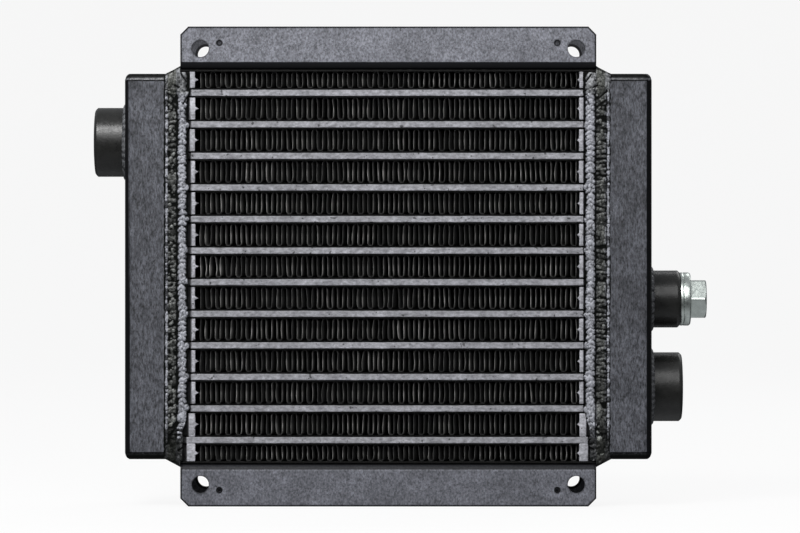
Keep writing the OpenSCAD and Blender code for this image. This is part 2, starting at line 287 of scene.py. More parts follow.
def weld_paint():
    """Paint over a weld bead: tone on the mesh paints light and shade, from black gaps to bright
    crests. The olive value turns it to a darker olive grey, partly the weld's own tint and partly
    painted shade.
    """
    paint = Paint("painted_weld")
    fine = paint.noise(paint.where, 0.7, 3, 0.6)
    tone = paint.multiply(paint.attribute("tone"), paint.spread(fine, 0.32, 0.68, 0.35, 1.65))
    light = paint.blend(paint.attribute("olive"), (0.46, 0.47, 0.52), (0.29, 0.3, 0.275))
    return paint.shade({
        "Base Color": paint.blend(tone, (0.004, 0.0045, 0.004), light),
        "Roughness": paint.spread(fine, 0.3, 0.7, 0.28, 0.46),
        "Specular IOR Level": paint.spread(tone, 0.03, 0.35, 0.06, 0.5),
        "Normal": paint.bump(fine, 0.09),
    })


def fin_paint():
    """Matt black over thin aluminium, greyer where the sheet edge meets the light."""
    paint = Paint("fin_black")
    patchy = paint.mottle(6, 0.7, 1.3, 3)
    dark = paint.scale((0.009, 0.009, 0.0095), patchy)
    bright = paint.scale((0.37, 0.36, 0.345), patchy)
    return paint.shade({
        "Base Color": paint.blend(paint.attribute("tone"), dark, bright),
        "Roughness": paint.mottle(1.5, 0.55, 0.75),
        "Normal": paint.bump(paint.noise(paint.where, 0.5), 0.02),
    })


def turned_paint():
    """Gloss black on a turned boss: faint tool rings show through the paint."""
    paint = Paint("boss_gloss_black")
    rings = paint.noise(paint.position((1, 0.02, 0.02)), 0.35, 1)
    peel = paint.bump(paint.noise(paint.where, 1.3), 0.05)
    return paint.shade({
        "Base Color": paint.scale((0.017, 0.017, 0.016), paint.mottle(3, 0.75, 1.3, 3)),
        "Roughness": paint.mottle(2.5, 0.24, 0.38, 3),
        "Normal": paint.bump(rings, 0.02, peel),
    })


def bare_metal(name, colour, rough_low, rough_high, ring_mm, stretch):
    """Bare or plated metal with fine tool lines and a cloudy tone."""
    paint = Paint(name)
    return paint.shade({
        "Base Color": paint.scale(colour, paint.mottle(3, 0.88, 1.12, 3)),
        "Metallic": 1,
        "Roughness": paint.mottle(1.6, rough_low, rough_high, 3),
        "Normal": paint.bump(paint.noise(paint.position(stretch), ring_mm), 0.012),
    })


def rubber():
    paint = Paint("seal_rubber")
    return paint.shade({
        "Base Color": paint.scale((0.02, 0.02, 0.021), paint.mottle(1.2, 0.7, 1.4, 3)),
        "Roughness": paint.mottle(0.8, 0.6, 0.8),
        "Normal": paint.bump(paint.noise(paint.where, 0.4), 0.02),
    })


# The lower bracket's paint is a darker copy of the upper one's: painted shade, where less light
# falls
BRACKET_PAINTS = {
    "top": satin_paint("bracket_satin_black", (0.205, 0.21, 0.24), 0.42, 0.6, 0.18, 0.045, 1.3),
    "bottom": satin_paint(
        "lower_bracket_shaded_satin_black", (0.15, 0.154, 0.178), 0.44, 0.6, 0.2, 0.045, 1.3
    ),
}
TANK_PAINT = satin_paint("tank_satin_black", (0.085, 0.088, 0.102), 0.4, 0.8, 0.25, 0.055, 2.6)
# Near black, well below the tank paint: black paint deepened with painted shade, for the parting and
# cover sheets
PLATE_PAINT = satin_paint("plate_shaded_black", (0.006, 0.006, 0.006), 0.55, 0.3, 0.2)
BAR_PAINT = bar_paint()
WELD_PAINT = weld_paint()
FIN_PAINT = fin_paint()
BOSS_PAINT = turned_paint()
ZINC = bare_metal("zinc_plate", (0.74, 0.8, 0.76), 0.2, 0.36, 0.3, (1, 0.02, 0.02))
ALUMINIUM = bare_metal("bare_aluminium", (0.78, 0.79, 0.8), 0.3, 0.45, 0.4, (0.05, 1, 1))
RUBBER = rubber()


# ---- Making pieces ----


def grid_faces(rows, columns, close_rows=False, close_columns=False):
    """Four-sided faces over a grid of points stored row by row."""
    last_row = rows if close_rows else rows - 1
    last_column = columns if close_columns else columns - 1
    r, c = np.meshgrid(np.arange(last_row), np.arange(last_column), indexing="ij")
    r2 = (r + 1) % rows
    c2 = (c + 1) % columns
    corners = (r * columns + c, r * columns + c2, r2 * columns + c2, r2 * columns + c)
    return np.stack(corners, -1).reshape(-1, 4).tolist()


class Shape:
    """Points in millimetres, faces and point values, gathered before they become a mesh."""

    def __init__(self, points=(), faces=(), **values):
        self.points = []
        self.faces = []
        self.values = {}
        self.add(points, faces, **values)

    def add(self, points, faces, **values):
        start = len(self.points)
        points = np.asarray(points, float).reshape(-1, 3)
        self.points.extend(points.tolist())
        self.faces.extend([[start + i for i in face] for face in faces])
        for name in self.values | values:
            kept = self.values.setdefault(name, [0.0] * start)
            more = np.asarray(values.get(name, 0.0), float).ravel()
            kept.extend(np.broadcast_to(more, len(points)).tolist())

    def mirrored(self, axis, about=0.0):
        """A copy on the other side of a plane across that axis."""
        points = np.array(self.points)
        points[:, axis] = 2 * about - points[:, axis]
        return Shape(points, [face[::-1] for face in self.faces], **self.values)

    def join(self, other):
        self.add(other.points, other.faces, **other.values)


def tube(rings, count, points, **values):
    """A shape through rings of count points each, closed at both ends."""
    faces = grid_faces(rings, count, close_columns=True)
    faces.append(list(range(count)))
    faces.append(list(range((rings - 1) * count, rings * count)))
    return Shape(points, faces, **values)


def put_in_scene(name, data):
    """A new object that shows a mesh, a lamp or a camera."""
    thing = bpy.data.objects.new(name, data)
    bpy.context.scene.collection.objects.link(thing)
    return thing


def place_piece(name, mesh, material, nodes, body="cooler", sharp_deg=35):
    """Makes a mesh into a piece that rides on its body and stands for its CAD nodes."""
    mesh.polygons.foreach_set("use_smooth", [True] * len(mesh.polygons))
    mesh.set_sharp_from_angle(angle=math.radians(sharp_deg))
    mesh.materials.append(material)
    piece = put_in_scene(name, mesh)
    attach(piece, body)
    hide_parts(*nodes)
    return piece


def make_piece(name, shape, material, nodes, body="cooler", sharp_deg=35, weld_mm=0.0005):
    """Turns a shape into a piece."""
    mesh = bpy.data.meshes.new(name)
    points = (np.array(shape.points) * MM).tolist()
    mesh.from_pydata(points, [], shape.faces)
    for value_name, values in shape.values.items():
        layer = mesh.attributes.new(value_name, "FLOAT", "POINT")
        layer.data.foreach_set("value", np.array(values, np.float32))
    work = bmesh.new()
    work.from_mesh(mesh)
    bmesh.ops.remove_doubles(work, verts=work.verts, dist=weld_mm * MM)
    bmesh.ops.dissolve_degenerate(work, edges=work.edges, dist=1e-7)
    bmesh.ops.recalc_face_normals(work, faces=work.faces)
    work.to_mesh(mesh)
    work.free()
    place_piece(name, mesh, material, nodes, body, sharp_deg)


def soften(node, name, edge_mm, material, dark_at=None, rim_mm=0.0, rim_at=None):
    """A copy of a CAD node with its sharp edges rounded over. The rounded edges are marked for
    bright spots in the paint and get painted shade, and a rim of rim_mm beside them gets painted
    shade too.
    dark_at(point) says how much painted shade a point gets, from 0 to 1, and rim_at(point) how dark
    the rim's painted shade is there."""
    full_rim = 0.95
    work = bmesh.new()
    work.from_mesh(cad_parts[node].data)
    edge_layer = work.verts.layers.float.new("edge")
    dark_layer = work.verts.layers.float.new("dark")
    bmesh.ops.remove_doubles(work, verts=work.verts, dist=0.001 * MM)
    bmesh.ops.dissolve_limit(
        work, angle_limit=math.radians(0.5), verts=work.verts, edges=work.edges
    )
    sharp = [
        e for e in work.edges
        if len(e.link_faces) == 2 and e.calc_face_angle(0) > math.radians(25)
    ]
    rounded = bmesh.ops.bevel(
        work, geom=sharp, offset=edge_mm * MM, segments=3, profile=0.5,
        affect="EDGES", clamp_overlap=True,
    )
    bmesh.ops.recalc_face_normals(work, faces=work.faces)
    rounded_faces = set(rounded["faces"])
    rim = set()
    if rim_mm:
        before = set(work.verts)
        flat = [face for face in work.faces if face not in rounded_faces]
        bmesh.ops.inset_region(
            work, faces=flat, thickness=rim_mm * MM, use_even_offset=True, use_boundary=True
        )
        rim = set(work.verts) - before
    for v in work.verts:
        on_edge = all(face in rounded_faces for face in v.link_faces)
        v[edge_layer] = 1.0 if on_edge else 0.0
        # Painted shade on the rounded edges and on the rim beside them
        v[dark_layer] = full_rim if on_edge else 0.0
        if v in rim:
            v[dark_layer] = rim_at(v.co / MM) if rim_at else full_rim
        if dark_at is not None:
            v[dark_layer] = max(v[dark_layer], dark_at(v.co / MM))
    mesh = bpy.data.meshes.new(name)
    work.to_mesh(mesh)
    work.free()
    piece = place_piece(name, mesh, material, [node])
    flats = piece.modifiers.new("flat_normals", "WEIGHTED_NORMAL")
    flats.keep_sharp = True


# ---- Brackets, tanks and plates ----


def from_hole(point, x=HOLE_X, z=HOLE_Z):
    """How far a point is from the nearest mounting hole's middle."""
    return math.hypot(abs(point.x) - x, abs(point.z) - z)


def bracket_shade(point):
    """How much painted shade the bracket paint gets: the web, the bends, the inside of the channel
    and the walls of the holes are darkened as shade, but not the outer faces of the two flanges."""
    bend_top = bracket_low.z + (3.9 if point.z > 0 else 2.9)
    bend = 1.0 if abs(point.z) < bend_top else 0.0
    if point.z < 0 and abs(point.z) > bracket_low.z + 0.7:
        bend *= 0.56
    inside = 0.5 if bracket_low.y + 0.5 < point.y < bracket_high.y - 0.5 else 0.0
    jig_wall = from_hole(point, JIG_X, JIG_Z) < 1.4
    wall = jig_wall or (inside and abs(from_hole(point) - HOLE_R) < 0.5)
    return max(bend, inside, 1.0 if wall else 0.0)


def bracket_rim_shade(point):
    """Painted shade on the rim of a bracket: dark along the edges, fainter round the holes."""
    return 0.45 if from_hole(point) < HOLE_R + 0.95 else 0.95


def tank_shade(point):
    """Painted shade: 1 round the two upright corners of a tank, which turn away from the light, 0 on
    its flats. At the left tank's upper end less of the corner is dark."""
    across = min(abs(point.y - FRONT_Y), abs(point.y - REAR_Y))
    dark_width = 2.2 if point.x < 0 < point.z else 3.1
    corner = float(smooth_step((abs(point.x) - WALL_X + dark_width) / 0.9))
    return corner * (1 if across < 3.9 else 0.2)


for end in ("top", "bottom"):
    soften(
        f"bracket_{end}", f"channel_{end}", 0.2, BRACKET_PAINTS[end],
        dark_at=bracket_shade, rim_mm=1.3, rim_at=bracket_rim_shade,
    )
    # The cover sheets get painted shade all over
    soften(
        f"side_plate_{end}", f"cover_sheet_{end}", 0.15, PLATE_PAINT,
        dark_at=lambda point: 0.5,
    )
for side in ("left", "right"):
    # The tanks get painted shade round their upright corners and along a rim at the edges of their
    # flats
    soften(
        f"tank_{side}", f"tank_shell_{side}", 0.3, TANK_PAINT,
        dark_at=tank_shade, rim_mm=0.7,
    )
    for end in ("top", "bottom"):
        soften(f"cap_{side}_{end}", f"tank_end_{side}_{end}", 0.3, TANK_PAINT)


# ---- Oil bars: a front and a rear bar for each oil passage ----

OIL_Z = [middle_z(name) for name in names_of("oil_bars", OIL_ROWS)]


def low_strip(z):
    """How much further the bars stay bare towards the weld at the lowest rows."""
    return 2.3 * float(smooth_step((-71 - z) / 14))


def oil_bar(centre_z, seed):
    """The front bar: rounded edges, slightly uneven, and sloping into the weld valley."""
    deep = 6.0
    round_mm = 0.45
    back_step = 0.09
    rng = random.Random(100 + seed)
    from_x = -ENDS["left"]["valley"] - low_strip(centre_z)
    to_x = ENDS["right"]["valley"] + low_strip(centre_z)
    inner = np.arange(from_x, to_x + 0.1, 1.2)
    inner[-1] = to_x
    left_slope = [-CORE_X, from_x - VALLEY_RUN]
    stations = np.concatenate((left_slope, inner, [to_x + VALLEY_RUN, CORE_X]))
    section = [(-BAR_H / 2, deep)]
    for corner_z, first in ((-BAR_H / 2 + round_mm, -90), (BAR_H / 2 - round_mm, 0)):
        for step in range(5):
            angle = math.radians(first + step * 22.5)
            z = corner_z + round_mm * math.sin(angle)
            section.append((z, round_mm * (1 - math.cos(angle))))
    section.append((BAR_H / 2, deep))
    rough_y = wobble(stations, 5, seed + 0.3) * 0.09
    rough_z = wobble(stations, 7, seed + 0.7) * 0.11
    points = []
    tones = []
    for i, x in enumerate(stations):
        drop = VALLEY_DEPTH if i in (0, 1) or i >= len(stations) - 2 else 0.0
        for z, back in section:
            y = FRONT_Y + back_step + min(back + drop, deep - 0.5) + rough_y[i]
            if back == deep:
                y = FRONT_Y + deep
            on_face = abs(z) < BAR_H / 2 - 0.02 and back < round_mm
            points.append((x, y, centre_z + z + rough_z[i] * (1 if on_face else 0.3)))
            # Painted light and shade in the tone: lighter low on the front face, darker round the
            # rounded edges, black on the back faces and near black down in the weld valley, with a
            # random tone on top
            lit = 0.0
            if back < deep:
                lit = (0.84 - 0.12 * z) * (1.0 - 0.9 * (back / round_mm) ** 2)
            tones.append(lit * (0.1 if drop else 1.0) * rng.uniform(0.85, 1.0))
    return tube(len(stations), len(section), points, tone=tones)


for row, z in enumerate(OIL_Z, 1):
    pair = oil_bar(z, row)
    pair.join(pair.mirrored(1, MID_Y))
    make_piece(
        f"bar_pair_{row:02d}", pair, BAR_PAINT, [f"oil_bars_{row:02d}"], sharp_deg=50
    )


# ---- Air bars: the upright ends of the air passages, each with a pointed nose ----


def bare_strip(end, z):
    """How much further an air bar stays bare towards the weld, by height."""
    high = 0.8 * float(smooth_step((z - 40) / 20)) - 0.2
    return low_strip(z) + (high if end == "left" else 0.0)


def air_bar(low_z, high_z, end, seed, lips):
    """One air bar at the right, through the whole depth, with rounded front and rear. Its lips
    are braze that runs out over the front edges of the sheets below and above it."""
    nose_h = 2.2
    flat_x = ENDS[end]["flat"]
    nose_l = flat_x - ENDS[end]["nose"]
    mid_z = (low_z + high_z) / 2
    valley = ENDS[end]["valley"] + bare_strip(end, mid_z)
    rng = random.Random(seed)
    tip = rng.uniform(-0.25, 0.25)
    shift = rng.uniform(-0.15, 0.15)

    def outline(inset, outer_x, lip):
        z0 = low_z + inset - lips[0] * lip
        z1 = high_z - inset + lips[1] * lip
        x0 = flat_x + inset + shift
        return [
            (outer_x, z0), (outer_x, z1), (x0 + 0.25, z1), (x0, z1 - 0.3),
            (x0, mid_z + nose_h / 2), (x0 - nose_l * 0.45, mid_z + nose_h * 0.2),
            (x0 - nose_l + inset, mid_z + tip * 0.3),
            (x0 - nose_l * 0.45, mid_z - nose_h * 0.2), (x0, mid_z - nose_h / 2),
            (x0, z0 + 0.3), (x0 + 0.25, z0),
        ]

    # From the front face back: how deep, the outline's inset, its outer end, and whether the
    # lips reach that deep
    levels = [
        (0.0, 0.28, valley - 0.15, 1), (0.08, 0.1, valley, 1), (0.3, 0.0, valley + 0.2, 1),
        (0.36, 0.0, valley + 0.22, 0), (VALLEY_DEPTH, 0.0, valley + VALLEY_RUN, 0),
        (VALLEY_DEPTH + 0.1, 0.0, CORE_X, 0),
    ]
    front = [(FRONT_Y + back, inset, x, lip) for back, inset, x, lip in levels]
    rear = [(2 * MID_Y - y, inset, x, lip) for y, inset, x, lip in reversed(front)]
    points = []
    tones = []
    for y, inset, outer_x, lip in front + rear:
        depth = min(y - FRONT_Y, REAR_Y - y)
        ring = outline(inset, outer_x, lip)
        points.extend((x, y, z) for x, z in ring)
        # Painted shade: the tone falls from the front face to near black less than a millimetre
        # behind it
        tones.extend([max(0.02, 1 - depth / 0.9)] * len(ring))
    return tube(len(front + rear), len(ring), points, tone=tones)


def air_gaps():
    """The bottom and top of every air passage, from the oil bars and the side plates."""
    stack_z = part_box("side_plate_top")[0].z / MM
    reach = BAR_H / 2 + SHEET_T
    lows = [-stack_z] + [z + reach for z in OIL_Z]
    highs = [z - reach for z in OIL_Z] + [stack_z]
    return list(zip(lows, highs))


# Braze lips cover the sheets below and above the lowest oil bar
LIP = SHEET_T - 0.05
for end, seed in (("right", 300), ("left", 400)):
    bars = Shape()
    for row, (low_z, high_z) in enumerate(air_gaps()):
        lips = (LIP if row == 1 else 0.0, LIP if row == 0 else 0.0)
        bars.join(air_bar(low_z, high_z, end, seed + row, lips))
    if end == "left":
        bars = bars.mirrored(0)
    make_piece(f"air_ends_{end}", bars, BAR_PAINT, [f"air_bars_{end}"], sharp_deg=50)


# ---- Parting sheets, cut back at the weld ----


def parting_sheet(low_z, high_z):
    """One sheet, set back a little from the bars, with its corners cut away for the weld."""
    inset = 0.4
    corner_y = VALLEY_DEPTH + 0.2
    outline = []
    for sx, sy in ((-1, -1), (1, -1), (1, 1), (-1, 1)):
        cut_x = ENDS["left" if sx < 0 else "right"]["valley"] + 0.2 + low_strip(low_z)
        y_out = FRONT_Y + inset if sy < 0 else REAR_Y - inset
        y_in = FRONT_Y + corner_y if sy < 0 else REAR_Y - corner_y
        corner = [(sx * CORE_X, y_in), (sx * (cut_x + VALLEY_RUN), y_in), (sx * cut_x, y_out)]
        outline.extend(corner if sx == sy else reversed(corner))
    points = [(x, y, z) for z in (low_z, high_z) for x, y in outline]
    # The sheets are painted dark all over as shade
    return tube(2, len(outline), points, dark=1.0)


sheets = Shape()
for name in names_of("oil_bars", OIL_ROWS):
    low, high = box_mm(name)
    sheets.join(parting_sheet(low.z - SHEET_T, low.z))
    sheets.join(parting_sheet(high.z, high.z + SHEET_T))
make_piece("sheet_stack", sheets, PLATE_PAINT, ["parting_sheets"])


# ---- Air fins ----

FIN_PITCH = 2.54
FIN_T = 0.24
# A few fins near the left end of one row are bent sideways, by about this much
BENT_ROW = 7
BENT_FINS = (0.22, -0.14, 0.2, -0.12)
# How deep the fin's stations lie behind the front edge, closer together near it
FIN_DEPTHS = np.array([0, 0.25, 0.7, 1.5, 3, 5.2, 8, 11, 14.5, 18.5, 22.5, 26.5])


def fold_line(low, high, rng):
    """The middle of the folded sheet seen from the front: round crests and walls that lean and
    waver. Also gives each point's wall and its level on it, -1 to 1 and 1.5 on a crest."""
    folds = int(round((high.x - low.x) / FIN_PITCH))
    half_wave = (high.x - low.x - FIN_T) / folds
    start = -folds * half_wave / 2
    crest_r = half_wave / 2
    wall_half = (high.z - low.z) / 2 - crest_r - FIN_T / 2
    crest_steps = 5

    # Each crest is pushed a little sideways, and takes its two walls with it
    push = [rng.gauss(0, 0.12) for _ in range(folds + 2)]
    bow = [rng.gauss(0, 0.04) for _ in range(folds + 1)]
    line = []
    walls = []
    for k in range(folds + 1):
        up = 1 if k % 2 == 0 else -1
        x0 = start + k * half_wave
        before = push[k]
        after = push[k + 1]
        if k == 0:
            line.append((x0, -up * (wall_half + crest_r)))
            walls.append((k, -1.0))
        for step in (-1.0, -0.4, 0.0, 0.4, 1.0):
            lean = before + (after - before) * (step + 1) / 2
            line.append((x0 + lean + bow[k] * (1 - step * step), step * wall_half * up))
            walls.append((k, step * up))
        if k == folds:
            line.append((x0, up * (wall_half + crest_r)))
            walls.append((k, 1.0 * up))
            break
        for step in range(1, crest_steps):
            angle = math.pi * step / crest_steps
            x = x0 + crest_r * (1 - math.cos(angle)) + after
            z = (wall_half + crest_r * math.sin(angle)) * up
            if k == 0 and step < 3:
                x = x0 + 0.1 * step
                z = (wall_half + crest_r * step / 2) * up
            if k == folds - 1 and step > 2:
                x = x0 + half_wave - 0.1 * (crest_steps - step)
                z = (wall_half + crest_r * (crest_steps - step) / 2) * up
            line.append((x, z))
            walls.append((k, 1.5 * up))
    return np.array(line), walls, folds


def fin_row(row):
    """A folded fin with a wavy run through the core."""
    low, high = box_mm(f"air_fin_{row:02d}")
    rng = random.Random(1000 + row)
    line, walls, folds = fold_line(low, high, rng)
    centre_z = (low.z + high.z) / 2
    run = np.gradient(line, axis=0)
    run /= np.linalg.norm(run, axis=1)[:, None]
    normal = np.stack((-run[:, 1], run[:, 0]), 1)
    total = high.y - low.y
    depths = np.concatenate((FIN_DEPTHS, [total / 2], total - FIN_DEPTHS[::-1]))

    # The run through the core waves from side to side, so no light comes straight through
    swing = 1.8
    wave_length = 20 + rng.uniform(-0.6, 0.6)
    slow = wobble(line[:, 0], 22, row * 3.1)
    phase = 0.1 + 0.55 * slow

    # At its two ends the fin swings out only as far as the air bar and round its nose
    by_nose = np.clip(np.abs(line[:, 1]) / 1.25, 0, 1)
    room = {}
    for sign, end in ((-1, "left"), (1, "right")):
        nose = ENDS[end]["nose"] - 0.2
        reach = nose + (ENDS[end]["flat"] - 0.3 - nose) * by_nose - (high.x - FIN_T / 2)
        from_end = np.clip(1 - (high.x - FIN_T - sign * line[:, 0]) / 9, 0, 1)
        room[sign] = reach + (6 - reach) * (1 - from_end)

    # How much light each wall catches, how far up, and how it is bent at the front
    glow = []
    for k in range(folds + 1):
        strength = 0.42 + 0.42 * slow[min(k * 9, len(slow) - 1)] + rng.gauss(0, 0.24)
        top_of_light = 0.3 + 0.25 * waver(k / 9, row * 5.1, 2.0)
        sideways = rng.gauss(0, 0.05)
        if row == BENT_ROW and 1 <= k <= len(BENT_FINS):
            strength = 1.4
            sideways = BENT_FINS[k - 1]
        glow.append((max(0.14, strength), top_of_light, sideways))
    bend = np.zeros(len(line))
    bright = np.zeros(len(line))
    for i, (k, level) in enumerate(walls):
        strength, top_of_light, sideways = glow[k]
        lit = 1.0 if level < top_of_light else 0.3
        if abs(level) > 1:
            lit = 0.08
        elif level < -0.9:
            lit *= 0.5
        bright[i] = strength * lit
        bend[i] = sideways * max(0, 1 - (level + 0.2) ** 2)

    rows = []
    tones = []
    for depth in depths:
        wide = swing * (1 + 0.5 * math.sin(math.pi * depth / total) ** 2)
        shift = wide * (np.sin(TURN * depth / wave_length + phase) - np.sin(phase))
        shift = np.clip(shift, -room[-1], room[1])
        shift = shift * smooth_step((depth + 0.01) / 0.7) + bend * math.exp(-depth / 1.6) * 3
        ring = []
        for side in (1, -1):
            x = line[:, 0] + side * normal[:, 0] * FIN_T / 2 + shift
            z = line[:, 1] + side * normal[:, 1] * FIN_T / 2
            ring.append(np.stack((x, np.full(len(x), low.y + depth), centre_z + z), 1))
        rows.append(np.concatenate((ring[0], ring[1][::-1])))
        # Painted shade: the tone fades to dark within about a millimetre of the front and rear edges
        fade = math.exp(-min(depth, total - depth) / 0.6)
        tones.append(np.concatenate((bright, bright[::-1])) * fade)
    count = 2 * len(line)
    faces = grid_faces(len(depths), count, close_columns=True)
    last = (len(depths) - 1) * count
    for i in range(len(line) - 1):
        for first in (0, last):
            corners = (i, i + 1, count - 2 - i, count - 1 - i)
            faces.append([first + corner for corner in corners])
    points = np.concatenate(rows)
    points[:, 2] = np.clip(points[:, 2], low.z, high.z)
    return Shape(points, faces, tone=np.concatenate(tones))


for row in range(1, AIR_ROWS + 1):
    make_piece(
        f"fin_pack_{row:02d}", fin_row(row), FIN_PAINT, [f"air_fin_{row:02d}"],
        weld_mm=0.00001,
    )


# ---- The two-pass weld between core and tank ----

# The slanting weld at the tank end: its height beside the core and its run along X
FILLET = 3.9
FILLET_RUN = 7.4


class Seam:
    """A weld seam over a grid: S lies across it and Z along it. Each point has a height above
    the face, and a tone for the paint."""

    def __init__(self, S, Z):
        self.S = S
        self.Z = Z
        self.height = np.full(S.shape, 0.04)
        self.tone = np.zeros(S.shape)

    def drop(self, s, z, wide, tall, rise, bright, chevron=0.0):
        """Lays one drop of weld on the seam, wide and tall from its middle: keeps the higher
        of it and what is there. A chevron's two arms bend down."""
        near = np.abs(self.S - s) < wide
        near &= np.abs(self.Z - z) < tall + 2 * abs(chevron) * wide
        off_s = (self.S[near] - s) / wide
        off_z = (self.Z[near] - z + chevron * np.abs(self.S[near] - s)) / tall
        height = rise * np.sqrt(np.clip(1 - off_s * off_s - off_z * off_z, 0, None))
        old = self.height[near]
        wins = height > old
        self.height[near] = np.where(wins, height, old)
        # Painted light: each drop is brightest on its top and goes dark round its foot
        edge = smooth_step((height / rise - 0.12) * 1.35)
        self.tone[near] = np.where(wins, bright * (0.05 + 0.95 * edge), self.tone[near])

    def slot(self, first, second, radius):
        """Presses a slot into the seam, from one point to another, and paints shade in it."""
        run = np.array(second) - np.array(first)
        off_s = self.S - first[0]
        off_z = self.Z - first[1]
        share = np.clip((off_s * run[0] + off_z * run[1]) / (run @ run), 0, 1)
        far = np.hypot(off_s - share * run[0], off_z - share * run[1])
        self.fade(smooth_step(1.3 - far / radius), 0.9, 0.97)

    def fade(self, where, lower, darker):
        """Lowers the seam and paints shade on it where the first number is near 1."""
        self.height *= 1 - lower * where
        self.tone *= 1 - darker * where


# Lumps low on each seam: place along X from the core's end, place along Z, half width, half
# height, rise and brightness
LOW_LUMPS = {
    "left": (
        (-0.4, -75.6, 2.5, 2.6, 1.34, 1.0), (3.4, -76.4, 1.6, 1.9, 1.0, 0.5),
        (0.4, -80.8, 2.1, 0.75, 1.2, 1.3), (0.5, -83.1, 2.0, 0.75, 1.15, 1.2),
        (0.4, -85.5, 1.8, 0.7, 1.1, 1.1), (0.3, -87.6, 1.6, 0.6, 1.0, 0.9),
    ),
    "right": (
        (0.8, -72.6, 2.5, 4.6, 1.3, 0.5), (-1.6, -75.2, 0.9, 3.0, 1.36, 1.2),
        (-0.9, -79.2, 1.2, 1.4, 1.36, 1.3), (1.7, -86.2, 1.4, 1.5, 1.36, 1.3),
        (1.2, -82.8, 1.2, 0.9, 1.2, 0.9), (0.2, -92.4, 1.9, 0.5, 1.0, 0.8),
        (2.6, -93.2, 1.7, 0.5, 1.0, 0.8),
    ),
}
# Big drops where the passes start and stop, with the same six numbers
END_DROPS = (
    (0.4, 95.4, 3.2, 2.6, 1.15, 0.62), (4.6, 94.6, 3.0, 2.9, 1.0, 0.5),
    (1.6, 91.6, 2.7, 2.9, 1.25, 0.36), (6.2, 97.4, 2.2, 2.0, 0.9, 0.7),
    (3.0, 88.4, 2.5, 2.2, 1.1, 0.32), (-1.6, 92.2, 1.7, 2.8, 1.3, 0.62),
    (5.6, 90.6, 1.6, 2.4, 0.9, 0.45), (0.9, 87.6, 1.8, 1.8, 1.0, 0.5),
    (2.4, 97.2, 1.9, 1.5, 1.2, 0.75), (-2.2, 95.6, 1.4, 1.8, 1.1, 0.35),
)


def along(reach, rng, low, high):
    """Heights from the lower end of a seam to its upper end, an uneven step apart."""
    z = -reach
    while z < reach:
        yield z
        z += rng.uniform(low, high)


